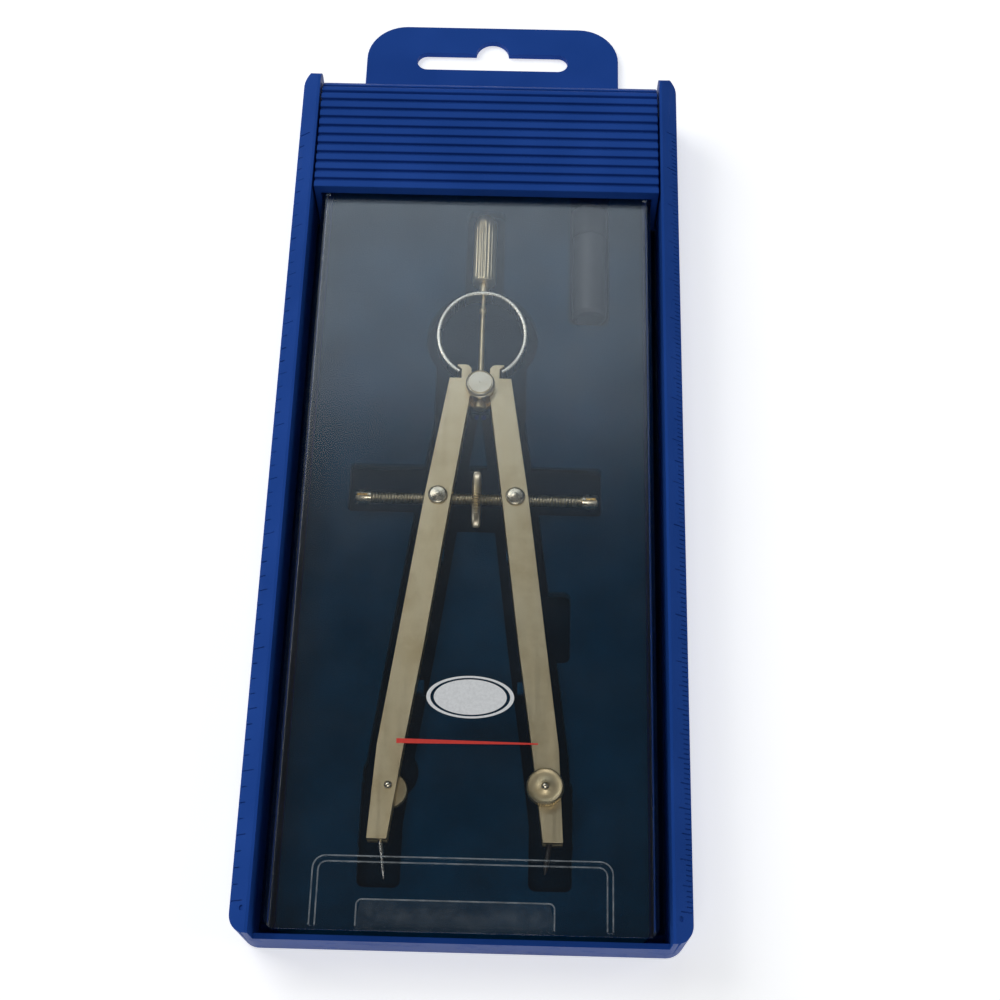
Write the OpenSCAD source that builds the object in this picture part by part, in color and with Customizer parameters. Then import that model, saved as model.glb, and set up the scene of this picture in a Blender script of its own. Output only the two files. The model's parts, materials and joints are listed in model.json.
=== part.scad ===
// Drafting compass set: a centre-wheel bow compass in a flat case with a sliding lid.
// +Z is up out of the case, +Y runs towards the hang tab, and the origin is the middle of the
// case's underside. Stations are distances along Y from the zero mark of the two rulers.

/* [Case] */
// Overall width across the two rails
case_w = 89; // [88:0.5:92]
// Height of the rails above the table
case_h = 19.2; // [19.2:0.1:21]
// Thickness of the tray's floor and of the hang tab
floor_t = 1.6; // [1.2:0.1:1.8]
// Length of the rulers' millimetre scale
ruler_mm = 180; // [100:10:180]
// Length of the rulers' inch scale, in inches
ruler_in = 7; // [4:1:7]

/* [Hang tab] */
// Width of the hang tab
tab_w = 63.4; // [50:1:70]
// Width of the hang slot
slot_w = 38; // [30:1:44]
// Height of the hang slot
slot_h = 5.1; // [4.4:0.1:5.4]

/* [Lid] */
// Thickness of the clear window
window_t = 0.6; // [0.5:0.1:0.7]
// Distance between the ribs of the slider head
rib_pitch = 2.5; // [2:0.1:3]
// Depth of the grooves between the ribs
rib_depth = 0.7; // [0.4:0.1:1]

/* [Compass] */
// Diameter of the adjusting wheel
wheel_d = 12.2; // [10:0.1:12.4]
// Thickness of the adjusting wheel
wheel_t = 1.7; // [1.2:0.1:2]
// Width of the oval spring ring
ring_d = 20.7; // [20:0.1:21.2]
// Diameter of the handle
handle_d = 5.2; // [4:0.1:5.6]
// Diameter of the thumb nuts
nut_d = 7.6; // [6:0.1:7.8]
// Thickness of the legs
leg_t = 4.4; // [4.4:0.1:4.5]

/* [Hidden] */
$fn = 64;
eps = 0.5;          // how far a cutter runs past the face that it opens
fit = 0.05;         // radial clearance of every turning fit

// Stations of the case
bottom_s = -6.2;
rim_s = -5.1;
rail_end_s = 196.4;
tab_end_s = 223.4;
zero_y = -(bottom_s + tab_end_s) / 2;
function y_at(s) = s + zero_y;

// Heights of the case
bevel_low_z = case_h - 2.6;
axis_z = 8.8;
flock_z = 5.2;
pocket_z = floor_t + 0.6;
window_top_z = 16.0;
window_low_z = window_top_z - window_t;
head_top_z = 18.8;
rim_top_z = 12;

// Widths of the case, as distances from the middle
outer_x = case_w / 2;
inner_x = outer_x - 4.2;
ridge_x = inner_x + 0.6;
bevel_a = atan2(case_h - bevel_low_z, outer_x - ridge_x);
groove_x = inner_x + 2;
groove_low_z = 2.3;
groove_top_z = 4.1;
corner_r = 4;

// The lid
head_s = 162.6;
head_end_s = 195.8;
head_x = inner_x - 0.4;
head_wall = 1.6;
head_r = 7.5;
window_s = -4.7;
window_x = 38.1;
tongue_low_z = 2.9;
tongue_top_z = 3.5;
tongue_x = groove_x - 0.4;

// The compass
pivot_s = 115.4;
pin_r = 2.6;
leg_low_z = axis_z - leg_t / 2;
leg_top_z = axis_z + leg_t / 2;
trunnion_x = 8.4;
trunnion_s = 88.8;
rod_r = 1.3;
rod_end_x = 22.9;
cap_l = 3.5;
cap_r = 1.55;
clamp_x = 15.8;
clamp_s = 24.8;
clamp_r = 0.8;
ring_s = 129.1;
ring_long_r = 11.4;
ring_t = 0.98;
ring_w = 3.6;
ring_open_a = 29;
leg_end_s = 14;
point_lean = 8;
point_x = 16.9;

// Each row of a leg is a station, the middle of the leg there and its width there
LEG_ROWS = [[14, 17.55, 4], [33, 15.8, 5.45], [55.4, 12.7, 5.75], [88.8, 8.4, 5.75], [111.6, 5.1, 5.35]];

// The lead container
tube_x = 24.5;
tube_s = 135.6;
cap_s = 157.2;
tube_end_s = 165.2;
tube_r = 4;
cap_skirt_r = 4.15;
neck_r = 3.3;
tube_z = pocket_z + cap_skirt_r;

// Moves the children to a station
module at(s, x = 0, z = 0) {
    translate([x, y_at(s), z]) children();
}

// Extrudes a section drawn in X and Z between two stations
module along_y(s0, s1) {
    translate([0, y_at(s1), 0]) rotate([90, 0, 0]) linear_extrude(s1 - s0) children();
}

// Extrudes a profile drawn in stations and Z between two places along X
module along_x(x0, x1) {
    translate([x0, zero_y, 0]) rotate([90, 0, 90]) linear_extrude(x1 - x0) children();
}

// A rectangle from one corner to the other
module block(low, high) {
    translate(low) square(high - low);
}

// A box from one corner to the other, with stations along Y
module box(low, high) {
    translate([low.x, y_at(low.y), low.z]) cube(high - low);
}

// A rectangle whose four corners have the radius r
module soft_block(low, high, r) {
    block([low.x + r, low.y], [high.x - r, high.y]);
    block([low.x, low.y + r], [high.x, high.y - r]);
    for (x = [low.x + r, high.x - r], y = [low.y + r, high.y - r])
        translate([x, y]) circle(r);
}

// The same shape on both sides of the middle
module both_sides() {
    children();
    mirror([1, 0, 0]) children();
}

// Case ------------------------------------------------------------------------------------------

module tray_section() {
    polygon([[-outer_x, 1.2], [-outer_x + 1.2, 0], [outer_x - 1.2, 0], [outer_x, 1.2], [outer_x, bevel_low_z],
        [ridge_x, case_h], [-ridge_x, case_h], [-outer_x, bevel_low_z]]);
}

module tray_cavity_section() {
    block([-inner_x, floor_t], [inner_x, case_h + eps]);
    block([-groove_x, groove_low_z], [groove_x, groove_top_z]);
}

// One engraved line of a ruler, on the right rail, drawn from near the outer edge towards the ridge
module tick(s, length, width = 0.24) {
    at(s, outer_x, bevel_low_z) rotate([0, 180 + bevel_a, 0])
        translate([0.3, -width / 2, -eps]) cube([length - 0.3, width, eps + 0.22]);
}

// The dot beside the zero of a ruler, on the right rail
module zero_dot(s) {
    at(s, outer_x, bevel_low_z) rotate([0, 180 + bevel_a, 0])
        translate([3.1, 0, -eps]) cylinder(h = eps + 0.3, r = 0.55);
}

module millimetre_ruler() {
    for (i = [0:ruler_mm])
        tick(i, i % 10 == 0 ? 3.2 : i % 5 == 0 ? 2.6 : 1.7);
    zero_dot(-1.4);
}

module inch_ruler() {
    for (i = [0:ruler_in * 8])
        tick(i * 25.4 / 8, i % 8 == 0 ? 3.2 : i % 4 == 0 ? 2.6 : 1.7);
    zero_dot(-1.4);
}

module hang_tab() {
    soft_block([-tab_w / 2, 150], [tab_w / 2, tab_end_s], 10);
}

module hang_slot() {
    mid_s = 212.7;
    soft_block([-slot_w / 2, mid_s - slot_h / 2], [slot_w / 2, mid_s + slot_h / 2], slot_h / 2 - 0.01);
    translate([0, mid_s + 2.3]) circle(4.1);
}

module tray() {
    color([0.09, 0.2, 0.52]) difference() {
        union() {
            intersection() {
                along_y(bottom_s, rail_end_s) tray_section();
                along_x(-outer_x, outer_x) {
                    block([bottom_s, 0], [rail_end_s, case_h - corner_r]);
                    block([bottom_s, 0], [rail_end_s - corner_r, case_h]);
                    translate([rail_end_s - corner_r, case_h - corner_r]) circle(corner_r);
                }
                at(0) linear_extrude(case_h) soft_block([-outer_x, bottom_s], [outer_x, rail_end_s], corner_r);
            }
            at(0) linear_extrude(floor_t) hang_tab();
        }
        along_y(rim_s, tab_end_s + eps) tray_cavity_section();
        box([-inner_x, bottom_s - eps, rim_top_z], [inner_x, rim_s + 0.3, case_h + eps]);
        at(0, 0, -eps) linear_extrude(floor_t + 2 * eps) hang_slot();
        millimetre_ruler();
        mirror([1, 0, 0]) inch_ruler();
    }
}

// Leg outline below the ring, widened by w on each side
module leg_strip(w = 0) {
    polygon(concat(
        [for (r = LEG_ROWS) [r[1] + r[2] / 2 + w, r[0]]],
        [for (i = [len(LEG_ROWS) - 1:-1:0]) [LEG_ROWS[i][1] - LEG_ROWS[i][2] / 2 - w, LEG_ROWS[i][0]]]));
}

// Recesses of the insert in plan, each wider by g
module recesses(g = 0) {
    translate([0, ring_s + 1.6]) circle(12.8 + g);
    soft_block([-4.5 - g, 138 - g], [4.5 + g, 165.8 + g], 1.5 + g);
    soft_block([tube_x - 4.7 - g, tube_s - 0.5 - g], [tube_x + 4.7 + g, 179 + g], 1.5 + g);
    soft_block([-28.4 - g, 87 - g], [27.4 + g, 98.6 + g], 1 + g);
    soft_block([-7.8 - g, 82.6 - g], [7.8 + g, 98.6 + g], 1.2 + g);
    both_sides() leg_strip(2.2 + g);
    both_sides() block([2 - g, 110], [10.4 + g, 123.5]);
    both_sides() soft_block([12.8 - g, 5.4 - g], [21.6 + g, 28 + g], 1.5 + g);
    translate([-15.8, 28.8]) circle(5.7 + g);
    soft_block([12 - g, 53.2 - g], [20.8 + g, 69.1 + g], 1.5 + g);
}

// Narrow posts that carry the compass from below
module rest_posts() {
    at(0, 0, floor_t) {
        for (s = [148, 157])
            translate([-1.2, s]) cube([2.4, 2, axis_z - handle_d / 2 - floor_t - 0.05]);
        both_sides() for (s = [46, 76])
            translate([13.9 - s * 0.1 + 0.5, s]) cube([2.6, 2.4, leg_low_z - floor_t - 0.35]);
    }
}

module insert() {
    half = 37;
    sheet = 0.7;
    color([0.06, 0.13, 0.2]) {
        difference() {
            at(0, 0, floor_t) linear_extrude(flock_z - floor_t) soft_block([-half, -4.4], [half, 192.6], 2.5);
            at(0, 0, pocket_z) linear_extrude(flock_z) recesses();
            at(0, 0, floor_t - eps) linear_extrude(flock_z - floor_t - sheet + eps) difference() {
                soft_block([-half + sheet, -3.7], [half - sheet, 191.9], 2);
                recesses(sheet);
            }
        }
        rest_posts();
    }
}

// Lid -------------------------------------------------------------------------------------------

// Side profile of the slider head, with its far end rounded down
module head_profile() {
    block([head_s, tongue_low_z], [head_end_s, head_top_z - head_r]);
    block([head_s, tongue_low_z], [head_end_s - head_r, head_top_z]);
    translate([head_end_s - head_r, head_top_z - head_r]) circle(head_r);
}

// Evenly spaced grooves along the flat top and on over the rounded end
module rib_grooves() {
    groove = rib_pitch * 0.36;
    flat = head_end_s - head_r - head_s;
    count = floor(flat / rib_pitch);
    for (i = [1:count])
        translate([head_s + i * rib_pitch - groove, head_top_z - rib_depth]) square([groove, rib_depth + eps]);
    for (i = [1:3])
        translate([head_end_s - head_r, head_top_z - head_r])
            rotate(90 - ((count + i) * rib_pitch - flat) / head_r * 180 / PI)
                translate([head_r - rib_depth, 0]) square([rib_depth + eps, groove]);
}

module slider_head() {
    color([0.1, 0.24, 0.56]) {
        difference() {
            along_x(-head_x, head_x) head_profile();
            along_x(-head_x - eps, head_x + eps) rib_grooves();
            along_x(-head_x + head_wall, head_x - head_wall) {
                block([head_s - eps, 0], [head_end_s - head_wall, window_top_z - 3]);
                block([head_s - eps, 0], [head_end_s - 4.4, window_top_z]);
            }
        }
        both_sides() box([head_x, head_s, tongue_low_z], [tongue_x, head_end_s - head_r, tongue_top_z]);
    }
}

module window_section() {
    c = 0.8;
    difference() {
        polygon([[-window_x, tongue_low_z], [-window_x, window_top_z - c], [-window_x + c, window_top_z],
            [window_x - c, window_top_z], [window_x, window_top_z - c], [window_x, tongue_low_z]]);
        polygon([[-window_x + window_t, tongue_low_z - eps], [-window_x + window_t, window_low_z - c],
            [-window_x + window_t + c, window_low_z], [window_x - window_t - c, window_low_z],
            [window_x - window_t, window_low_z - c], [window_x - window_t, tongue_low_z - eps]]);
    }
}

// The raised outline at the window's lower end
module window_frame() {
    difference() {
        soft_block([-29.2, -10], [29.2, 9.4], 2.6);
        soft_block([-28, -12], [28, 8.2], 1.6);
        block([-40, -14], [40, window_s + 0.6]);
    }
}

module window() {
    color([0.8, 0.86, 0.9, 0.35]) {
        intersection() {
            along_y(window_s, head_s - 0.2) window_section();
            at(0) linear_extrude(case_h) soft_block([-window_x, window_s], [window_x, head_s + 5], 2.5);
        }
        box([-window_x + 1.8, head_s - 0.2, window_low_z], [window_x - 1.8, head_end_s - 5, window_top_z]);
        both_sides() box([window_x, window_s + 2.5, tongue_low_z], [tongue_x, head_s - 0.2, tongue_top_z]);
        at(0, 0, window_top_z) linear_extrude(0.35) window_frame();
    }
}

module seal_label() {
    color([0.85, 0.88, 0.88, 0.5])
        at(0, 0, window_top_z) linear_extrude(0.12) soft_block([-20.4, rim_s - 0.5], [18, 1.3], 1.2);
}

// An oval of the given length, half as wide
module oval(length) {
    scale([2, 1]) circle(length / 4);
}

// A plain oval badge with a thin border
module emblem_print() {
    color("white") at(42, 0.3, window_top_z) linear_extrude(0.08) {
        difference() {
            oval(17.8);
            oval(16.2);
        }
        oval(14.8);
    }
}

// A plain straight rule under the badge
module stripe_print() {
    color("red") at(32.6, 0, window_top_z) linear_extrude(0.08)
        polygon([[-14.2, -0.5], [14.2, -0.15], [14.2, 0.15], [-14.2, 0.5]]);
}

// Compass ---------------------------------------------------------------------------------------

// A turned piece along Y: rows of station and radius
module turned(rows) {
    translate([0, zero_y, axis_z]) rotate([-90, 0, 0])
        rotate_extrude()
            polygon(concat([[0, rows[0][0]]], [for (r = rows) [r[1], r[0]]], [[0, rows[len(rows) - 1][0]]]));
}

module handle() {
    r = handle_d / 2;
    color([0.76, 0.72, 0.62])
        turned([[143.2, r - 0.3], [143.6, r], [158.8, r], [160.2, r - 0.35], [161.5, r - 0.9]]);
}

module centre_rod() {
    color([0.76, 0.72, 0.62])
        turned([[110.8, 1.3], [112.4, 1.3], [112.4, 0.72], [132, 0.55], [140.6, 0.55], [140.6, 1.17],
            [143.2, 1.17]]);
}

module pivot_pin() {
    color([0.76, 0.72, 0.62]) difference() {
        at(pivot_s) union() {
            translate([0, 0, 5.6]) cylinder(h = leg_low_z - 0.05 - 5.6, r = 3.25);
            translate([0, 0, 5.6]) cylinder(h = leg_top_z + 0.05 - 5.6, r = pin_r);
        }
        at(pivot_s - 5, 0, axis_z) rotate([-90, 0, 0]) cylinder(h = 10, r = 0.74);
        at(pivot_s - 5, 0, axis_z) rotate([-90, 0, 0]) cylinder(h = 5 - pin_r + 0.5, r = 1.32);
    }
}

module pivot_knob() {
    color([0.8, 0.76, 0.68])
        at(pivot_s, 0, leg_top_z + 0.05) difference() {
            rotate_extrude() polygon([[0, 0], [3.05, 0], [3.25, 0.25], [3.25, 1.5], [2.75, 2.2], [0, 2.35]]);
            translate([0, 0, 2.1]) cylinder(h = 1, r1 = 0, r2 = 1.2);
        }
}

// The spring's plan: an oval ring that is open below, drawn as one outline
module ring_plan() {
    steps = 72;
    function arc(inset) = [for (i = [0:steps]) let (a = ring_open_a + i * (360 - 2 * ring_open_a) / steps)
        [(ring_d / 2 - inset) * sin(a), -(ring_long_r - inset) * cos(a)]];
    inner = arc(ring_t);
    polygon(concat(arc(0), [for (i = [steps:-1:0]) inner[i]]));
}

module spring_ring() {
    color([0.82, 0.79, 0.7]) difference() {
        at(ring_s, 0, axis_z - ring_w / 2) linear_extrude(ring_w) ring_plan();
        at(ring_s + 8, 0, axis_z) rotate([-90, 0, 0]) cylinder(h = 6, r = 0.65);
    }
}

module leg_plan() {
    difference() {
        polygon(concat(
            [for (r = LEG_ROWS) [r[1] + r[2] / 2, r[0]]],
            [[6.9, 117.6], [4.25, 117.6], [4.25, 119.9], [5.3, 120.8], [5.1, 121], [3.4, 121], [2.7, 120.8]],
            [[2.1, 120.1], [1.9, 116]],
            [for (i = [len(LEG_ROWS) - 1:-1:0]) [LEG_ROWS[i][1] - LEG_ROWS[i][2] / 2, LEG_ROWS[i][0]]]));
        translate([0, pivot_s]) circle(pin_r + fit);
    }
}

// The right leg; the left one is its mirror image
module leg() {
    difference() {
        at(0, 0, leg_low_z) linear_extrude(leg_t) leg_plan();
        at(trunnion_s, trunnion_x, leg_low_z - eps) cylinder(h = leg_t + 2 * eps, r = 1.5 + fit);
        box([trunnion_x - 5, trunnion_s - 2.35, axis_z - 1.45], [trunnion_x + 5, trunnion_s + 2.35, axis_z + 1.45]);
        at(clamp_s, clamp_x, leg_low_z - eps) cylinder(h = leg_t + 2 * eps, r = clamp_r);
        at(leg_end_s, point_x, axis_z) rotate([-90, 0, -point_lean]) translate([0, 0, -2]) cylinder(h = 10, r = 0.55);
        box([11, leg_end_s - eps, axis_z - 0.2], [22, 33, axis_z + 0.2]);
    }
}

module right_leg() {
    color([0.74, 0.7, 0.6]) leg();
}

module left_leg() {
    color([0.74, 0.7, 0.6]) mirror([1, 0, 0]) leg();
}

module trunnion() {
    at(trunnion_s, trunnion_x) difference() {
        union() {
            translate([0, 0, axis_z - 1.4]) cylinder(h = 2.8, r = 2.2);
            translate([0, 0, leg_low_z - 0.7]) cylinder(h = leg_t + 1.4, r = 1.5);
            translate([0, 0, leg_low_z - 0.8]) cylinder(h = 0.75, r = 2.1);
            translate([0, 0, leg_top_z + 0.05]) rotate_extrude()
                polygon([[0, 0], [2.1, 0], [2.1, 0.3], [1.6, 0.75], [0, 1]]);
        }
        translate([-3, 0, axis_z]) rotate([0, 90, 0]) cylinder(h = 6, r = rod_r + fit);
    }
}

module right_trunnion() {
    color([0.8, 0.76, 0.68]) trunnion();
}

module left_trunnion() {
    color([0.8, 0.76, 0.68]) mirror([1, 0, 0]) trunnion();
}

module spindle_rod() {
    color([0.66, 0.63, 0.55])
        at(trunnion_s, -rod_end_x, axis_z) rotate([0, 90, 0]) cylinder(h = 2 * rod_end_x, r = rod_r);
}

// An end cap, on the right-hand end of the rod
module rod_cap() {
    at(trunnion_s, rod_end_x, axis_z) rotate([0, 90, 0]) rotate_extrude()
        polygon([[0, 0], [cap_r, 0], [cap_r, cap_l - 0.2], [cap_r - 0.2, cap_l], [0, cap_l]]);
}

module right_rod_cap() {
    color([0.8, 0.77, 0.68]) rod_cap();
}

module left_rod_cap() {
    color([0.8, 0.77, 0.68]) mirror([1, 0, 0]) rod_cap();
}

module centre_wheel() {
    r = wheel_d / 2;
    color([0.74, 0.71, 0.62])
        at(trunnion_s, -wheel_t / 2, axis_z) rotate([0, 90, 0]) rotate_extrude()
            polygon([[rod_r + fit, 0], [r - 0.3, 0], [r, 0.3], [r, wheel_t - 0.3], [r - 0.3, wheel_t],
                [rod_r + fit, wheel_t]]);
}

// A point held in the right leg: rows of distance beyond the leg's end and radius
module point(rows) {
    at(leg_end_s, point_x, axis_z) rotate([90, 0, -point_lean])
        rotate_extrude()
            polygon(concat([[0, rows[0][0]]], [for (r = rows) [r[1], r[0]]], [[0, rows[len(rows) - 1][0]]]));
}

module needle() {
    color([0.82, 0.8, 0.74]) mirror([1, 0, 0])
        point([[-6.8, 0.5], [2.6, 0.5], [3.0, 0.35], [6.2, 0.35], [7.7, 0.04]]);
}

module lead() {
    color([0.2, 0.2, 0.2]) point([[-6.8, 0.5], [4.6, 0.5], [6.0, 0.12]]);
}

// The stud of a clamp on the right leg, with its domed end at the given side
module clamp_stud(low, high) {
    at(clamp_s, clamp_x, low) cylinder(h = high - low, r = clamp_r);
}

module needle_screw() {
    color([0.8, 0.77, 0.68]) mirror([1, 0, 0]) {
        clamp_stud(5.6, leg_top_z + 0.3);
        at(clamp_s, clamp_x, leg_top_z) cylinder(h = 0.5, r1 = 0.85, r2 = 0.5);
    }
}

module lead_screw() {
    color([0.8, 0.77, 0.68]) {
        clamp_stud(leg_low_z - 0.3, 13.4);
        at(clamp_s, clamp_x, leg_low_z - 0.5) cylinder(h = 0.5, r1 = 0.5, r2 = 0.85);
    }
}

// A thumb nut on the right leg between two heights, dished towards the dished side
module thumb_nut(low, high) {
    r = nut_d / 2;
    h = high - low;
    at(clamp_s, clamp_x, low) rotate_extrude()
        polygon([[clamp_r + fit, 0], [r - 0.2, 0], [r, 0.2], [r, h - 0.25], [r - 0.25, h], [2.2, h],
            [1.5, h - 0.25], [clamp_r + fit, h - 0.25]]);
}

module needle_nut() {
    color([0.72, 0.69, 0.6]) mirror([1, 0, 0]) thumb_nut(5.45, leg_low_z - 0.05);
}

module lead_nut() {
    color([0.72, 0.69, 0.6]) thumb_nut(leg_top_z + 0.05, 13.6);
}

// Lead container --------------------------------------------------------------------------------

// A turned hollow piece along Y on the container's axis: rows of radius and station
module turned_tube(rows) {
    translate([tube_x, zero_y, tube_z]) rotate([-90, 0, 0]) rotate_extrude() polygon(rows);
}

module lead_tube() {
    color([0.22, 0.22, 0.22])
        turned_tube([[0, tube_s], [tube_r - 1.2, tube_s], [tube_r - 0.35, tube_s + 0.35], [tube_r, tube_s + 1.2],
            [tube_r, cap_s - 0.1], [neck_r, cap_s - 0.1], [neck_r, cap_s + 5], [2.6, cap_s + 5],
            [2.6, tube_s + 1.2], [0, tube_s + 1.2]]);
}

module tube_cap() {
    color([0.25, 0.25, 0.25])
        turned_tube([[neck_r + fit, cap_s], [cap_skirt_r, cap_s], [cap_skirt_r, tube_end_s - 0.7],
            [cap_skirt_r - 0.7, tube_end_s], [0, tube_end_s], [0, tube_end_s - 1.6], [neck_r + fit, tube_end_s - 1.6]]);
}

module spare_leads() {
    color([0.15, 0.15, 0.15]) for (a = [0, 120, 240])
        translate([tube_x, y_at(tube_s + 1.4), tube_z]) rotate([0, a, 0]) translate([1.3, 0, 0])
            rotate([-90, 0, 0]) cylinder(h = 24, r = 0.5);
}

tray();
insert();
slider_head();
window();
seal_label();
emblem_print();
stripe_print();
handle();
centre_rod();
pivot_pin();
pivot_knob();
spring_ring();
left_leg();
right_leg();
left_trunnion();
right_trunnion();
spindle_rod();
left_rod_cap();
right_rod_cap();
centre_wheel();
needle();
needle_screw();
needle_nut();
lead();
lead_screw();
lead_nut();
lead_tube();
tube_cap();
spare_leads();
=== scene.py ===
"""A drafting compass in a flat case with a sliding clear lid.

Lengths are in metres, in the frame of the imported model: x across, y towards the hang tab, z up."""

import json
import math

import bmesh
import bpy
from mathutils import Matrix, Vector


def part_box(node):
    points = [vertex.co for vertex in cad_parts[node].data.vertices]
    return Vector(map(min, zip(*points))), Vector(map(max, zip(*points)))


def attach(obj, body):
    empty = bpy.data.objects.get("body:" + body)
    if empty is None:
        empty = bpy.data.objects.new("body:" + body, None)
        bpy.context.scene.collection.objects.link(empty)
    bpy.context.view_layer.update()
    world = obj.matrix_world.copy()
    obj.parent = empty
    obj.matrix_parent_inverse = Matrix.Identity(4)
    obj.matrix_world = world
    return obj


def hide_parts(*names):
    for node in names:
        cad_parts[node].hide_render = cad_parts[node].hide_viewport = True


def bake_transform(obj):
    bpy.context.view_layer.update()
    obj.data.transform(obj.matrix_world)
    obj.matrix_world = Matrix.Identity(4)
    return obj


MM = 0.001
WELD = 0.002 * MM  # points closer than this become one
ON_AXIS = 1e-7  # a turned row with a smaller radius, in metres, is one point
MIX_A, MIX_B, MIX_RESULT = 6, 7, 2  # the colour sockets of a Mix node, whose names aren't unique

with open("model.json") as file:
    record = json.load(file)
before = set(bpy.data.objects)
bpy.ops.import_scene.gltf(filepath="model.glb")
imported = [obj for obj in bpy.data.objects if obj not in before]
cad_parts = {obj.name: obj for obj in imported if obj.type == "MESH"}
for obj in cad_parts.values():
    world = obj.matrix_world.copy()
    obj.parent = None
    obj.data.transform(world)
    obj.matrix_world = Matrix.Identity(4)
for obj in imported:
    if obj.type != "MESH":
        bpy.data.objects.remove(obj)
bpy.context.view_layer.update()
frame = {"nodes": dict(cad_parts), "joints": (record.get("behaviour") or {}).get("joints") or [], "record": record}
joints = {joint["name"]: joint for joint in frame["joints"]}
scene = bpy.context.scene


# Places, all taken from the frame -----------------------------------------------------------------

def low(node):
    return Vector(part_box(node)[0])


def high(node):
    return Vector(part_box(node)[1])


PIVOT = Vector(joints["right_leg_swing"]["pos_m"])
TRUNNION = Vector(joints["right_trunnion_turn"]["pos_m"])
CLAMP = Vector(joints["lead_nut_turn"]["pos_m"])
AXIS_Z = PIVOT.z  # the height of the compass's flat middle plane
WINDOW_TOP = low("emblem_print").z
FLOCK_Z = high("insert").z
UP = Vector((0, 0, 1))
ALONG = Vector((0, 1, 0))


# Material nodes ----------------------------------------------------------------------------------

class Shader:
    """A Principled material, with short calls for the textures that feed it."""

    def __init__(self, name, color, roughness, metallic=0.0, **sockets):
        self.material = bpy.data.materials.new(name)
        self.material.use_nodes = True
        self.tree = self.material.node_tree
        self.bsdf = self.tree.nodes["Principled BSDF"]
        self.bsdf.inputs["Base Color"].default_value = (*color, 1)
        self.bsdf.inputs["Roughness"].default_value = roughness
        self.bsdf.inputs["Metallic"].default_value = metallic
        for socket, value in sockets.items():
            self.bsdf.inputs[socket.replace("_", " ")].default_value = value
        self.coords = self.tree.nodes.new("ShaderNodeTexCoord").outputs["Object"]
        self.height = None

    def node(self, kind, **settings):
        made = self.tree.nodes.new(kind)
        for key, value in settings.items():
            setattr(made, key, value)
        return made

    def link(self, source, target):
        self.tree.links.new(source, target)

    def noise(self, scale, stretch=(1, 1, 1), detail=3.0, roughness=0.55):
        """Noise with scale features a metre, fewer along an axis whose stretch is under 1."""
        mapping = self.node("ShaderNodeMapping")
        mapping.inputs["Scale"].default_value = stretch
        self.link(self.coords, mapping.inputs["Vector"])
        noise = self.node("ShaderNodeTexNoise")
        noise.inputs["Scale"].default_value = scale
        noise.inputs["Detail"].default_value = detail
        noise.inputs["Roughness"].default_value = roughness
        self.link(mapping.outputs["Vector"], noise.inputs["Vector"])
        return noise.outputs["Fac"]

    def ramp(self, value, start, end, bottom=0.0, top=1.0):
        """value mapped from start..end to bottom..top, and held there outside."""
        ramp = self.node("ShaderNodeMapRange", clamp=True)
        limits = {"From Min": start, "From Max": end, "To Min": bottom, "To Max": top}
        for socket, number in limits.items():
            ramp.inputs[socket].default_value = number
        self.link(value, ramp.inputs["Value"])
        return ramp.outputs["Result"]

    def math(self, operation, a, b):
        made = self.node("ShaderNodeMath", operation=operation)
        for socket, value in zip(made.inputs, (a, b)):
            if isinstance(value, (int, float)):
                socket.default_value = value
            else:
                self.link(value, socket)
        return made.outputs["Value"]

    def mix(self, factor, a, b):
        made = self.node("ShaderNodeMix", data_type="RGBA")
        self.link(factor, made.inputs["Factor"])
        for socket, value in ((made.inputs[MIX_A], a), (made.inputs[MIX_B], b)):
            if isinstance(value, tuple):
                socket.default_value = (*value, 1)
            else:
                self.link(value, socket)
        return made.outputs[MIX_RESULT]

    def color(self, value):
        """Feeds the base colour."""
        self.link(value, self.bsdf.inputs["Base Color"])

    def roughness(self, value):
        self.link(value, self.bsdf.inputs["Roughness"])

    def bump(self, value, distance, strength=1.0):
        """Adds a bump of that distance in metres on top of the earlier ones."""
        bump = self.node("ShaderNodeBump")
        bump.inputs["Distance"].default_value = distance
        bump.inputs["Strength"].default_value = strength
        self.link(value, bump.inputs["Height"])
        if self.height is not None:
            self.link(self.height, bump.inputs["Normal"])
        self.height = bump.outputs["Normal"]
        self.link(self.height, self.bsdf.inputs["Normal"])

    def position(self, axis):
        split = self.node("ShaderNodeSeparateXYZ")
        self.link(self.coords, split.inputs["Vector"])
        return split.outputs[axis]


def tinted(color, tint):
    return tuple(c * k for c, k in zip(color, tint))


def blue_plastic():
    """Satin moulded plastic: a faint cloudiness, handling scratches and a fine moulded grain."""
    made = Shader("blue_plastic", (0.012, 0.062, 0.32), 0.4, IOR=1.2, Specular_IOR_Level=0.12)
    cloud = made.ramp(made.noise(45, detail=2), 0.35, 0.7)
    made.color(made.mix(cloud, (0.014, 0.064, 0.31), (0.019, 0.077, 0.36)))
    rubs = made.ramp(made.noise(160, (1, 0.12, 1), detail=6, roughness=0.7), 0.52, 0.75)
    made.roughness(made.ramp(rubs, 0, 1, 0.36, 0.52))
    made.bump(made.noise(2600, detail=4), 0.00001)
    made.bump(made.noise(240, (1, 0.05, 1), detail=5, roughness=0.75), 0.000012, 0.6)
    return made.material


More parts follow.
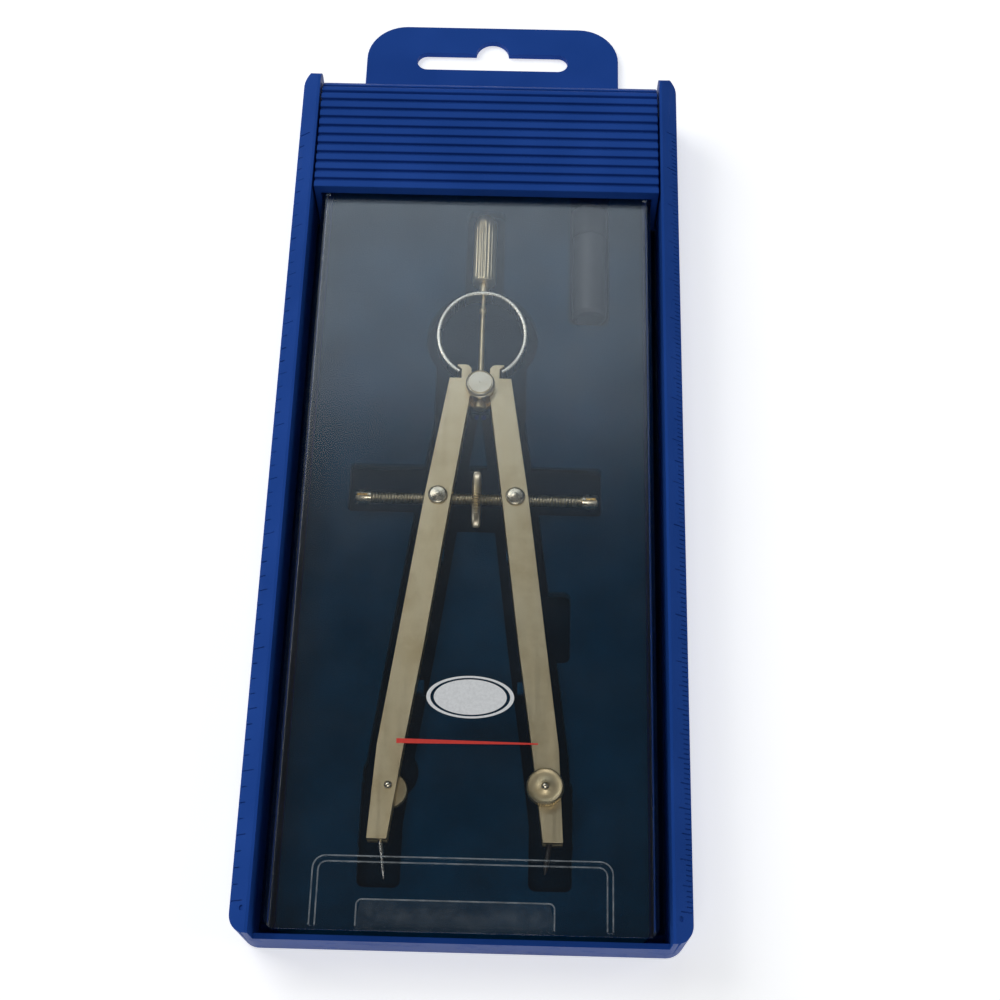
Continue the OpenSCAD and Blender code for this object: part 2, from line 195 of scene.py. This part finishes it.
def navy_flock():
    """Short upright fibres: speckled colour, a soft sheen, and painted shade that darkens the colour down in the
    recesses.
    """
    made = Shader("navy_flock", (0.01, 0.024, 0.05), 0.95, Sheen_Weight=0.25, Sheen_Roughness=0.45,
                  Sheen_Tint=(0.12, 0.5, 0.9, 1), Specular_IOR_Level=0.03)
    fibre = made.ramp(made.noise(5200, detail=4, roughness=0.7), 0.32, 0.7)
    fibres = made.mix(fibre, (0.002, 0.036, 0.085), (0.006, 0.095, 0.21))
    nap = made.ramp(made.noise(70, detail=3), 0.35, 0.7, 0.8, 1.15)
    # painted shade: the colour darkens with depth below the flock's top, in place of the shade that falls in the
    # recesses
    depth = made.ramp(made.position("Z"), FLOCK_Z - 2.2 * MM, FLOCK_Z - 0.1 * MM, 0.22, 1.0)
    shade = made.node("ShaderNodeMix", data_type="RGBA", blend_type="MULTIPLY")
    shade.inputs["Factor"].default_value = 1
    made.link(fibres, shade.inputs[MIX_A])
    made.link(made.math("MULTIPLY", nap, depth), shade.inputs[MIX_B])
    made.color(shade.outputs[MIX_RESULT])
    made.bump(made.noise(4200, detail=5, roughness=0.75), 0.00022, 0.9)
    made.bump(made.noise(520, detail=3), 0.00012, 0.5)
    return made.material


def clear_plastic():
    """Clear plastic that shows only its reflections, with fine handling marks."""
    made = Shader("clear_plastic", (0.93, 0.97, 1.0), 0.2, 1.0)
    fresnel = made.node("ShaderNodeFresnel")
    fresnel.inputs["IOR"].default_value = 1.49
    marks = made.ramp(made.noise(420, (1, 0.2, 1), detail=8, roughness=0.8), 0.62, 0.8, 0, 0.02)
    specks = made.ramp(made.noise(1500, detail=2), 0.78, 0.84, 0, 0.25)
    alpha = made.math("ADD", fresnel.outputs["Fac"], made.math("ADD", marks, specks))
    made.link(alpha, made.bsdf.inputs["Alpha"])
    made.roughness(made.ramp(made.noise(60, detail=4), 0.3, 0.7, 0.17, 0.23))
    made.bump(made.noise(28, detail=1), 0.0002, 0.12)
    return made.material


def clear_label():
    """A thin clear film, a little cloudy where its glue shows."""
    made = Shader("clear_label", (0.75, 0.8, 0.82), 0.22, Specular_IOR_Level=0.6)
    cloud = made.ramp(made.noise(260, detail=5, roughness=0.65), 0.35, 0.75, 0.008, 0.035)
    made.link(cloud, made.bsdf.inputs["Alpha"])
    made.bump(made.noise(180, detail=2), 0.0002, 0.5)
    return made.material


def edge_painted_highlight():
    """The edge of clear plastic, whose pale, partly opaque colour is a painted highlight along it."""
    made = Shader("edge_painted_highlight", (0.8, 0.88, 0.92), 0.25, Specular_IOR_Level=0.8)
    # painted highlight: the pale colour shows through this partial cover under any light
    cover = made.ramp(made.noise(500, detail=3), 0.3, 0.7, 0.06, 0.2)
    made.link(cover, made.bsdf.inputs["Alpha"])
    made.bump(made.noise(900, detail=2), 0.00002)
    return made.material


def ink(name, color):
    """Screen-printed ink with a faintly uneven cover."""
    made = Shader(name, color, 0.5)
    cover = made.ramp(made.noise(1500, detail=4, roughness=0.7), 0.3, 0.6)
    made.color(made.mix(cover, tinted(color, (0.86, 0.86, 0.86)), color))
    made.bump(made.noise(2600, detail=3), 0.000008)
    return made.material


def nickel(name, color, roughness, grain, stretch=(1, 0.04, 1)):
    """Nickel plate over a worked surface: a stretched grain, faint tarnish and uneven gloss."""
    made = Shader(name, color, roughness, 1.0)
    tarnish = made.ramp(made.noise(150, detail=6, roughness=0.65), 0.42, 0.72)
    made.color(made.mix(tarnish, color, tinted(color, (0.84, 0.8, 0.72))))
    gloss = made.noise(900, stretch, detail=5, roughness=0.6)
    made.roughness(made.ramp(gloss, 0.3, 0.7, roughness - 0.07, roughness + 0.1))
    made.bump(made.noise(3800, stretch, detail=4, roughness=0.65), grain)
    return made.material


def turned_nickel(name, color, roughness, centre):
    """Nickel over lathe-turned rings about an upright axis through the centre."""
    made = Shader(name, color, roughness, 1.0)
    place = made.node("ShaderNodeVectorMath", operation="SUBTRACT")
    place.inputs[1].default_value = centre
    made.link(made.coords, place.inputs[0])
    flat = made.node("ShaderNodeVectorMath", operation="MULTIPLY")
    flat.inputs[1].default_value = (1, 1, 0)
    made.link(place.outputs["Vector"], flat.inputs[0])
    reach = made.node("ShaderNodeVectorMath", operation="LENGTH")
    made.link(flat.outputs["Vector"], reach.inputs[0])
    rings = made.node("ShaderNodeTexNoise", noise_dimensions="1D")
    rings.inputs["Scale"].default_value = 9000
    rings.inputs["Detail"].default_value = 3
    made.link(reach.outputs["Value"], rings.inputs["W"])
    tarnish = made.ramp(made.noise(300, detail=5), 0.4, 0.75)
    made.color(made.mix(tarnish, color, tinted(color, (0.86, 0.83, 0.76))))
    made.roughness(made.ramp(rings.outputs["Fac"], 0.3, 0.7, roughness - 0.06, roughness + 0.08))
    made.bump(rings.outputs["Fac"], 0.000012)
    return made.material


def matt_dark(name, color, roughness):
    """A dark matt surface with paler patches."""
    made = Shader(name, color, roughness)
    patch = made.ramp(made.noise(220, detail=5), 0.35, 0.7)
    made.color(made.mix(patch, color, tinted(color, (1.5, 1.5, 1.5))))
    made.bump(made.noise(3000, detail=4), 0.000015)
    return made.material


WARM = (0.85, 0.72, 0.46)
BRIGHT = (0.9, 0.82, 0.64)
EVEN = (1, 1, 1)  # a grain with no direction
MATERIALS = {
    "blue_plastic": blue_plastic(),
    "navy_flock": navy_flock(),
    "clear_plastic": clear_plastic(),
    "clear_label": clear_label(),
    "print_white": ink("print_white", (0.86, 0.87, 0.87)),
    "print_red": ink("print_red", (0.72, 0.035, 0.02)),
    "satin_nickel": nickel("satin_nickel", WARM, 0.42, 0.000012),
    "bright_nickel": nickel("bright_nickel", BRIGHT, 0.24, 0.000004, EVEN),
    "thread_steel": nickel("thread_steel", (0.72, 0.64, 0.46), 0.3, 0.000002, EVEN),
    "spring_steel": nickel("spring_steel", (0.88, 0.82, 0.68), 0.28, 0.000005, (1, 1, 0.05)),
    "dark_plastic": matt_dark("dark_plastic", (0.03, 0.031, 0.033), 0.42),
    "graphite": matt_dark("graphite", (0.02, 0.02, 0.022), 0.35),
    "needle_steel": nickel("needle_steel", (0.66, 0.65, 0.6), 0.25, 0.000004, EVEN),
}


# Mesh helpers ------------------------------------------------------------------------------------

def object_from(name, bm, sharp_angle=35):
    """An object made from the bmesh, smooth apart from edges sharper than the angle."""
    mesh = bpy.data.meshes.new(name)
    bmesh.ops.recalc_face_normals(bm, faces=bm.faces)
    bm.to_mesh(mesh)
    bm.free()
    mesh.shade_smooth()
    mesh.set_sharp_from_angle(angle=math.radians(sharp_angle))
    made = bpy.data.objects.new(name, mesh)
    scene.collection.objects.link(made)
    return made


def finish_piece(piece, body, slot, *nodes, material=None):
    """Gives the piece its material, the slot's own unless one is given, and lets it ride on its body in place of
    the nodes.
    """
    piece.data.materials.clear()
    piece.data.materials.append(material or MATERIALS[slot])
    if body:
        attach(piece, body)
    if nodes:
        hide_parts(*nodes)
    return piece


def body_of_node(node):
    bodies = frame["record"]["behaviour"]["bodies"]
    return next(body for body, members in bodies.items() if node in members)


def slot_of_node(node):
    subparts = frame["record"]["subparts"]
    return next(part["material_slot"] for part in subparts if part["node"] == node)


def softened(node, radius, chosen=lambda a, b: True, segments=3):
    """A copy of a CAD node whose outward edges are rounded. chosen(a, b) says whether the edge between
    those two points is one of them."""
    flat, sharp = math.radians(0.6), math.radians(24)
    bm = bmesh.new()
    bm.from_mesh(frame["nodes"][node].data)
    bmesh.ops.remove_doubles(bm, verts=bm.verts, dist=WELD)
    bmesh.ops.dissolve_limit(bm, angle_limit=flat, verts=bm.verts, edges=bm.edges)
    edges = [
        e for e in bm.edges
        if len(e.link_faces) == 2 and e.is_convex and e.calc_face_angle(0) > sharp
        and chosen(e.verts[0].co, e.verts[1].co)
    ]
    bmesh.ops.bevel(bm, geom=edges, offset=radius, offset_type="OFFSET", segments=segments,
                    profile=0.5, affect="EDGES", clamp_overlap=True)
    bmesh.ops.remove_doubles(bm, verts=bm.verts, dist=WELD)
    piece = object_from(node + "_soft", bm, 40)
    weighted = piece.modifiers.new("weighted", "WEIGHTED_NORMAL")
    weighted.keep_sharp = True
    return finish_piece(piece, body_of_node(node), slot_of_node(node), node)


def lathe(name, origin, axis, rows, segments, sharp_angle, ripple=None):
    """A turned shape about the axis: rows of (distance, radius). ripple(angle, distance, radius) is
    added to each radius."""
    axis = Vector(axis).normalized()
    side = axis.orthogonal().normalized()
    other = axis.cross(side)
    bm = bmesh.new()
    rings = []
    for distance, radius in rows:
        centre = origin + axis * distance
        if radius < ON_AXIS:
            rings.append([bm.verts.new(centre)])
            continue
        ring = []
        for i in range(segments):
            angle = 2 * math.pi * i / segments
            reach = radius + (ripple(angle, distance, radius) if ripple else 0)
            outwards = side * math.cos(angle) + other * math.sin(angle)
            ring.append(bm.verts.new(centre + outwards * reach))
        rings.append(ring)
    for one, two in zip(rings, rings[1:]):
        for i in range(segments):
            j = (i + 1) % segments
            corners = [one[i % len(one)], one[j % len(one)], two[j % len(two)], two[i % len(two)]]
            bm.faces.new(list(dict.fromkeys(corners)))
    for end in (rings[0], rings[-1]):
        if len(end) > 2:
            bm.faces.new(end)
    return object_from(name, bm, sharp_angle)


def wave(count, angle):
    """From 0 to 1 and back, count times in a turn."""
    return 0.5 - 0.5 * math.cos(count * angle)


def knurl(teeth, depth, inner):
    """A ripple of teeth cut into the rows whose radius is larger than inner."""
    return lambda angle, distance, radius: -depth * wave(teeth, angle) if radius > inner else 0


def sweep(name, path, normals, width, thick, edge, up):
    """A flat strip with rounded edges along the path. width is along up, and thick along the normals."""
    half_x, half_y = thick / 2 - edge, width / 2 - edge
    arc_steps = 3
    outline = []
    for cx, cy, quarter in ((1, 1, 0), (-1, 1, 1), (-1, -1, 2), (1, -1, 3)):
        for i in range(arc_steps + 1):
            t = math.pi / 2 * (quarter + i / arc_steps)
            outline.append((cx * half_x + edge * math.cos(t), cy * half_y + edge * math.sin(t)))
    bm = bmesh.new()
    rings = [[bm.verts.new(p + n * x + up * y) for x, y in outline] for p, n in zip(path, normals)]
    for one, two in zip(rings, rings[1:]):
        for i in range(len(outline)):
            j = (i + 1) % len(outline)
            bm.faces.new((one[i], one[j], two[j], two[i]))
    for end in (rings[0], rings[-1]):
        bm.faces.new(end)
    return object_from(name, bm, 50)


# Camera, light and floor -------------------------------------------------------------------------

def add_camera():
    """The camera stands beyond the rim end and looks down and towards the hang tab. Its place, turns
    and lens were fitted to the case's corners and the rulers."""
    place = Vector((9.19, -161.56, 332.95)) * MM
    heading, tilt, roll = (
        Matrix.Rotation(math.radians(angle), 3, axis)
        for angle, axis in ((1.65, "Z"), (23.64, "X"), (-0.18, "Z"))
    )
    turn = heading @ tilt @ roll
    data = bpy.data.cameras.new("camera")
    data.lens = 58.4
    data.sensor_width = 36
    data.clip_start = 0.01
    camera = bpy.data.objects.new("camera", data)
    camera.matrix_world = Matrix.Translation(place) @ turn.to_4x4()
    scene.collection.objects.link(camera)
    scene.camera = camera


def add_light(name, place, power, width, depth, aim=(0, 0, 0), color=(1, 1, 1)):
    """A rectangular lamp of that power in watts, turned towards the aim."""
    data = bpy.data.lights.new(name, "AREA")
    data.shape = "RECTANGLE"
    data.size, data.size_y = width, depth
    data.energy = power
    data.color = color
    light = bpy.data.objects.new(name, data)
    light.location = place
    light.rotation_euler = (Vector(aim) - Vector(place)).to_track_quat("-Z", "Y").to_euler()
    scene.collection.objects.link(light)


def add_stage():
    """Faint cool surroundings, five soft lights and a pale floor."""
    world = bpy.data.worlds.new("world")
    world.use_nodes = True
    background = world.node_tree.nodes["Background"]
    background.inputs["Color"].default_value = (0.9, 0.95, 1, 1)
    background.inputs["Strength"].default_value = 0.05
    scene.world = world
    scene.view_settings.view_transform = "Standard"

    add_light("key_left", (-0.75, 0.45, 0.8), 6, 0.7, 0.8)
    add_light("fill_right", (0.9, -0.05, 0.65), 1.9, 0.6, 0.8)
    add_light("front", (-0.1, -0.9, 0.8), 0.7, 0.6, 0.12)
    add_light("back_panel", (-0.265, 0.9, 1.1), 3.1, 0.97, 0.75,
              aim=(-0.265, 0.9, 0), color=(0.88, 1, 1.14))
    add_light("overhead", (0, -0.5, 1), 1.7, 0.5, 0.35)

    bm = bmesh.new()
    bmesh.ops.create_grid(bm, x_segments=1, y_segments=1, size=6)
    floor = object_from("floor", bm)
    floor.location.z = low("tray").z - 0.02 * MM
    pale = Shader("pale_floor", (0.93, 0.93, 0.93), 0.7, Emission_Strength=0.5,
                  Emission_Color=(1, 1, 1, 1))
    grain = pale.ramp(pale.noise(30, detail=3), 0.3, 0.7)
    pale.color(pale.mix(grain, (0.92, 0.92, 0.92), (0.94, 0.94, 0.94)))
    floor.data.materials.append(pale.material)


# Case and lid ------------------------------------------------------------------------------------

def add_case():
    """The tray, the insert and the lid's two parts with rounded edges."""
    outer = high("tray").x
    ruler_inner, ruler_outer = 0.92 * outer + 0.1 * MM, outer - 0.2 * MM
    ruler_low = 16.0 * MM

    def on_ruler(p):
        return ruler_inner < abs(p.x) < ruler_outer and p.z > ruler_low

    def not_a_tick(a, b):
        """An edge that isn't part of the rulers' engraving."""
        return not (on_ruler(a) and on_ruler(b))

    softened("tray", 0.28 * MM, not_a_tick)
    softened("insert", 0.45 * MM)
    softened("slider_head", 0.22 * MM)
    softened("window", 0.12 * MM)


def add_label():
    """The clear seal: flat on the window, then bent down over its end."""
    a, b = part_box("seal_label")
    thick, bend, corner = 0.1 * MM, 1.5 * MM, 1.0 * MM
    columns = 12
    bend_y = low("window").y + bend
    path = [Vector((0, b[1], a[2] + thick / 2)), Vector((0, bend_y, a[2] + thick / 2))]
    centre = Vector((0, bend_y, a[2] + thick / 2 - bend))
    path += [centre + bend * Vector((0, -math.sin(t), math.cos(t)))
             for t in (math.radians(turn) for turn in range(10, 80, 10))]
    bm = bmesh.new()
    rows = []
    for i, p in enumerate(path):
        inset = corner if i == 0 else 0
        step = (b[0] - a[0] - 2 * inset) / columns
        rows.append([bm.verts.new((a[0] + inset + step * k, p.y, p.z)) for k in range(columns + 1)])
    for one, two in zip(rows, rows[1:]):
        for k in range(columns):
            bm.faces.new((one[k], one[k + 1], two[k + 1], two[k]))
    piece = object_from("seal_label_film", bm, 60)
    solid = piece.modifiers.new("film", "SOLIDIFY")
    solid.thickness = thick
    solid.offset = 0
    finish_piece(piece, "lid", "clear_label", "seal_label")


def add_edges():
    """Fine rounded edges on the window's raised outline and around the seal, which catch real highlights and also
    carry a painted highlight in their pale colour. Each runs up one side, round two corners at its end and back
    down the other side."""
    # edge: the pale material whose colour is a painted highlight
    edge = edge_painted_highlight()
    a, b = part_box("seal_label")
    near = low("window").y + 0.8 * MM
    window_end = near + 13.3 * MM
    double = 1.1 * MM  # from the outer line of the window's outline to the inner one
    seal_inset = 0.1 * MM
    seal_half = (b[0] - a[0]) / 2 - seal_inset
    # name, middle, half width, end, corner radius, rise over the window
    outlines = (
        ("window_outline_outer", 0, 29.15 * MM, window_end, 2.5 * MM, 0.3 * MM),
        ("window_outline_inner", 0, 28.05 * MM, window_end - double, 1.7 * MM, 0.3 * MM),
        ("seal_outline", (a[0] + b[0]) / 2, seal_half, b[1] - seal_inset, 1.1 * MM, 0.05 * MM),
    )
    for name, middle, half, end, radius, rise in outlines:
        path, normals = [Vector((half, near, 0))], [Vector((1, 0, 0))]
        for way, turns in ((1, range(0, 91, 15)), (-1, range(90, -1, -15))):
            for turn in turns:
                t = math.radians(turn)
                n = Vector((way * math.cos(t), math.sin(t), 0))
                path.append(Vector((way * (half - radius), end - radius, 0)) + n * radius)
                normals.append(n)
        path.append(Vector((-half, near, 0)))
        normals.append(Vector((-1, 0, 0)))
        path = [p + Vector((middle, 0, WINDOW_TOP + rise)) for p in path]
        piece = sweep(name, path, normals, 0.12 * MM, 0.3 * MM, 0.05 * MM, UP)
        finish_piece(piece, "lid", "clear_plastic", material=edge)


# Compass -----------------------------------------------------------------------------------------

def add_legs():
    """The two flat legs with rounded edges."""
    for node in ("left_leg", "right_leg"):
        softened(node, 0.3 * MM, segments=4)


def add_handle():
    """A fluted grip with a rounded top."""
    a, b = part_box("handle")
    radius = (b[0] - a[0]) / 2
    length = b[1] - a[1]
    flutes, flute_depth = 18, 0.2 * MM
    round_end, flat_end, chamfer = 2.7 * MM, 0.9 * MM, 0.35 * MM

    def flute(angle, distance, reach):
        """A groove that fades out at both ends of the grip."""
        start = (distance - 0.5 * MM) / (0.5 * MM)
        end = (length - 3.0 * MM - distance) / (0.6 * MM)
        fade = min(1.0, max(0.0, start), max(0.0, end))
        return -flute_depth * fade * wave(flutes, angle) ** 1.5

    straight = length - round_end
    rows = [(0, 0), (0, radius - chamfer), (0.12 * MM, radius - 0.12 * MM), (chamfer, radius)]
    rows += [(chamfer + (straight - chamfer) * i / 24, radius) for i in range(1, 25)]
    rows += [(straight + round_end * math.sin(t), flat_end + (radius - flat_end) * math.cos(t))
             for t in (math.pi / 2 * i / 8 for i in range(1, 9))]
    rows += [(length, 0)]
    piece = lathe("fluted_handle", Vector((0, a[1], AXIS_Z)), ALONG, rows, 180, 50, flute)
    finish_piece(piece, "case", "satin_nickel", "handle")


def add_knob():
    """The pivot's turned knob: a grooved rim, a polished chamfer and a flat top with a centre mark."""
    a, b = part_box("pivot_knob")
    radius = (b[0] - a[0]) / 2
    height = b[2] - a[2]
    # millimetres below the top and in from the rim
    rim = ((1.2, 0), (1.1, 0.16), (0.95, 0.16), (0.85, 0), (0.6, 0), (0.35, 0.1),
           (0.12, 0.34), (0.1, 0.4), (0.36, 0.44), (0.36, 0.6), (0.04, 0.64), (0, 0.7))
    rows = [(0, 0), (0, radius - 0.25 * MM), (0.2 * MM, radius)]
    rows += [(height - drop * MM, radius - inset * MM) for drop, inset in rim]
    rows += [(height, 0.22 * MM), (height - 0.18 * MM, 0)]
    place = Vector((0, PIVOT.y, a[2]))
    piece = lathe("turned_knob", place, UP, rows, 72, 18)
    metal = turned_nickel("turned_knob_nickel", BRIGHT, 0.36, place)
    finish_piece(piece, "case", "bright_nickel", "pivot_knob", material=metal)


def add_centre_rod():
    """The slim centre rod: a stub below the pivot, a taper, a bead and the collar under the handle."""
    a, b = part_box("centre_rod")
    length, stub = b[1] - a[1], (b[0] - a[0]) / 2
    stub_length, slim, collar, collar_length = 1.6 * MM, 0.5 * MM, 1.15 * MM, 2.6 * MM
    bead = 25.4 * MM  # from the rod's lower end to the bead
    # millimetres past the bead's place, and radius
    bead_rows = ((-3, 0.54), (-1, 0.5), (-0.7, 0.72), (-0.3, 0.84), (0.1, 0.84), (0.6, 0.66), (1.4, 0.5))
    rows = [(0, 0), (0, stub - 0.2 * MM), (0.2 * MM, stub), (stub_length, stub),
            (stub_length, 0.72 * MM)]
    rows += [(bead + past * MM, radius * MM) for past, radius in bead_rows]
    rows += [(length - collar_length, slim), (length - collar_length, collar - 0.2 * MM),
             (length - collar_length + 0.2 * MM, collar), (length - 0.3 * MM, collar),
             (length, collar - 0.15 * MM), (length, 0)]
    piece = lathe("turned_centre_rod", Vector((0, a[1], AXIS_Z)), ALONG, rows, 40, 40)
    finish_piece(piece, "case", slot_of_node("centre_rod"), "centre_rod",
                 material=MATERIALS["satin_nickel"])


def add_spring():
    """The oval spring in two halves."""
    a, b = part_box("spring_ring")
    thick = 0.98 * MM
    long_radius = 11.4 * MM  # half the ring's length, as in the CAD
    opening = math.radians(29)  # from the lower end of the axis to each tail
    across = (b[0] - a[0]) / 2 - thick / 2
    along = long_radius - thick / 2
    centre = Vector((0, b[1] - long_radius, AXIS_Z))
    steps = 72
    turns = [math.pi - (math.pi - opening) * i / steps for i in range(steps + 1)]
    for side, name, leg in ((1, "spring_half_right", "right_leg"), (-1, "spring_half_left", "left_leg")):
        path, normals = [], []
        for t in turns:
            x, y = side * math.sin(t), -math.cos(t)
            path.append(centre + Vector((x * across, y * along, 0)))
            normals.append(Vector((x / across, y / along, 0)).normalized())
        piece = sweep(name, path, normals, b[2] - a[2], thick, 0.3 * MM, UP)
        finish_piece(piece, None, "spring_steel", "spring_ring")
        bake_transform(piece)


def add_threaded_rod():
    """The adjusting rod, with opposite threads on its two halves."""
    a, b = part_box("spindle_rod")
    crest = (b[2] - a[2]) / 2
    depth, pitch = 0.26 * MM, 0.7 * MM
    half = (b[0] - a[0]) / 2
    steps = int(2 * half / pitch * 10)

    def thread(angle, distance, reach):
        place = distance - half
        hand = 1 if place > 0 else -1
        turn = (abs(place) / pitch + hand * angle / (2 * math.pi)) % 1
        return -depth * abs(2 * turn - 1) ** 0.8

    rows = [(0, 0)] + [(2 * half * i / steps, crest) for i in range(steps + 1)] + [(2 * half, 0)]
    origin = Vector((a[0], TRUNNION.y, AXIS_Z))
    piece = lathe("threaded_rod", origin, (1, 0, 0), rows, 32, 60, thread)
    finish_piece(piece, "spindle", "thread_steel", "spindle_rod")


def add_rod_caps():
    """The rod's two end caps, each with a groove round it and a screwdriver slot across it."""
    slot_start, slot_half, slot_floor = 0.9 * MM, 0.24 * MM, 0.4 * MM
    for node, way in (("left_rod_cap", -1), ("right_rod_cap", 1)):
        a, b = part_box(node)
        inner = a[0] if way > 0 else b[0]
        length, radius = b[0] - a[0], (b[2] - a[2]) / 2
        axis = Vector((way, 0, 0))
        side = axis.orthogonal().normalized()
        up = math.atan2(axis.cross(side).z, side.z)

        def slit(angle, distance, reach, up=up):
            """The slot through the outer part of the cap, upright at rest."""
            in_slot = abs(math.sin(angle - up)) * reach < slot_half
            return -0.55 * reach if in_slot and distance > slot_start and reach > slot_floor else 0

        rows = [(0, 0), (0, radius - 0.15 * MM), (0.12 * MM, radius), (0.5 * MM, radius),
                (0.6 * MM, radius - 0.14 * MM), (0.8 * MM, radius - 0.14 * MM), (0.88 * MM, radius),
                (0.92 * MM, radius), (length - 0.5 * MM, radius),
                (length - 0.2 * MM, radius - 0.12 * MM), (length, radius - 0.5 * MM), (length, 0)]
        origin = Vector((inner, TRUNNION.y, AXIS_Z))
        cap = lathe(node + "_turned", origin, axis, rows, 96, 40, slit)
        finish_piece(cap, "spindle", "bright_nickel", node)


def add_wheel():
    """The knurled adjusting wheel, with a shallow dish on both faces."""
    a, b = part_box("centre_wheel")
    thick, radius = b[0] - a[0], (b[2] - a[2]) / 2
    teeth = 64
    # depth from the face and radius, from the middle of one face to its rim
    face = ((0, 0), (0, 2.6 * MM), (0.3 * MM, 2.9 * MM), (0.3 * MM, radius - 1.2 * MM),
            (0, radius - 0.9 * MM), (0, radius - 0.45 * MM), (0.22 * MM, radius - 0.1 * MM),
            (0.4 * MM, radius))
    rows = list(face) + [(thick - depth, reach) for depth, reach in reversed(face)]
    origin = Vector((a[0], TRUNNION.y, AXIS_Z))
    ripple = knurl(teeth, 0.55 * MM, radius - 0.5 * MM)
    wheel = lathe("knurled_wheel", origin, (1, 0, 0), rows, teeth * 6, 40, ripple)
    metal = nickel("knurled_nickel", BRIGHT, 0.34, 0.000004, EVEN)
    finish_piece(wheel, "wheel", "satin_nickel", "centre_wheel", material=metal)


def add_trunnion_heads():
    """A low turned cone over each trunnion's head."""
    leg_top = high("right_leg").z
    height = (high("right_trunnion").z - leg_top) / MM
    # millimetres above the leg, and radius
    rows = ((0.03, 0), (0.03, 2.1), (0.3, 2.12), (0.5, 2.02), (0.62, 1.86),
            (height - 0.12, 0.7), (height, 0.3), (height + 0.01, 0))
    rows = [(rise * MM, radius * MM) for rise, radius in rows]
    for side, body in ((1, "right_trunnion"), (-1, "left_trunnion")):
        place = Vector((side * TRUNNION.x, TRUNNION.y, leg_top))
        piece = lathe(body + "_cone", place, UP, rows, 56, 30)
        metal = turned_nickel(body + "_nickel", BRIGHT, 0.3, place)
        finish_piece(piece, body, "bright_nickel", material=metal)


def add_thumb_nuts():
    """The two thumb nuts: a knurled rim, a dished face and a coned middle."""
    teeth = 48
    for node, side, up in (("lead_nut", 1, 1), ("needle_nut", -1, -1)):
        a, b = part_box(node)
        radius, height = (b[0] - a[0]) / 2, b[2] - a[2]
        rows = [(0, 0), (0, radius - 0.3 * MM), (0.2 * MM, radius - 0.1 * MM), (0.35 * MM, radius),
                (height - 0.4 * MM, radius), (height - 0.2 * MM, radius - 0.1 * MM),
                (height - 0.05 * MM, radius - 0.35 * MM), (height - 0.2 * MM, radius - 0.6 * MM),
                (height - 0.3 * MM, radius - 1.1 * MM), (height - 0.34 * MM, 1.25 * MM),
                (height - 0.12 * MM, 0.95 * MM), (height - 0.1 * MM, 0)]
        origin = Vector((side * CLAMP.x, CLAMP.y, a[2] if up > 0 else b[2]))
        ripple = knurl(teeth, 0.16 * MM, radius - 0.15 * MM)
        nut = lathe(node + "_knurled", origin, (0, 0, up), rows, teeth * 4, 40, ripple)
        finish_piece(nut, body_of_node(node), "satin_nickel", node)


def add_stud_domes():
    """The rounded ends of the two clamp studs."""
    radius, height, steps = 0.85 * MM, 0.62 * MM, 7
    turns = [math.pi / 2 * i / steps for i in range(steps)]
    rows = [(0, 0)] + [(height * math.sin(t), radius * math.cos(t)) for t in turns] + [(height, 0)]
    bases = {"right_leg": high("lead_nut").z - 0.2 * MM, "left_leg": high("left_leg").z}
    for side, body in ((1, "right_leg"), (-1, "left_leg")):
        place = Vector((side * CLAMP.x, CLAMP.y, bases[body]))
        stud = lathe(body + "_stud_dome", place, UP, rows, 40, 60)
        finish_piece(stud, body, "bright_nickel")


def dress_cad_nodes():
    """Gives every CAD node the procedural material of its slot."""
    for name, node in frame["nodes"].items():
        node.data.materials.clear()
        node.data.materials.append(MATERIALS[slot_of_node(name)])
        node.data.shade_smooth()
        node.data.set_sharp_from_angle(angle=math.radians(35))


add_camera()
add_stage()
dress_cad_nodes()
add_case()
add_label()
add_edges()
add_legs()
add_handle()
add_knob()
add_centre_rod()
add_spring()
add_threaded_rod()
add_rod_caps()
add_wheel()
add_trunnion_heads()
add_thumb_nuts()
add_stud_domes()
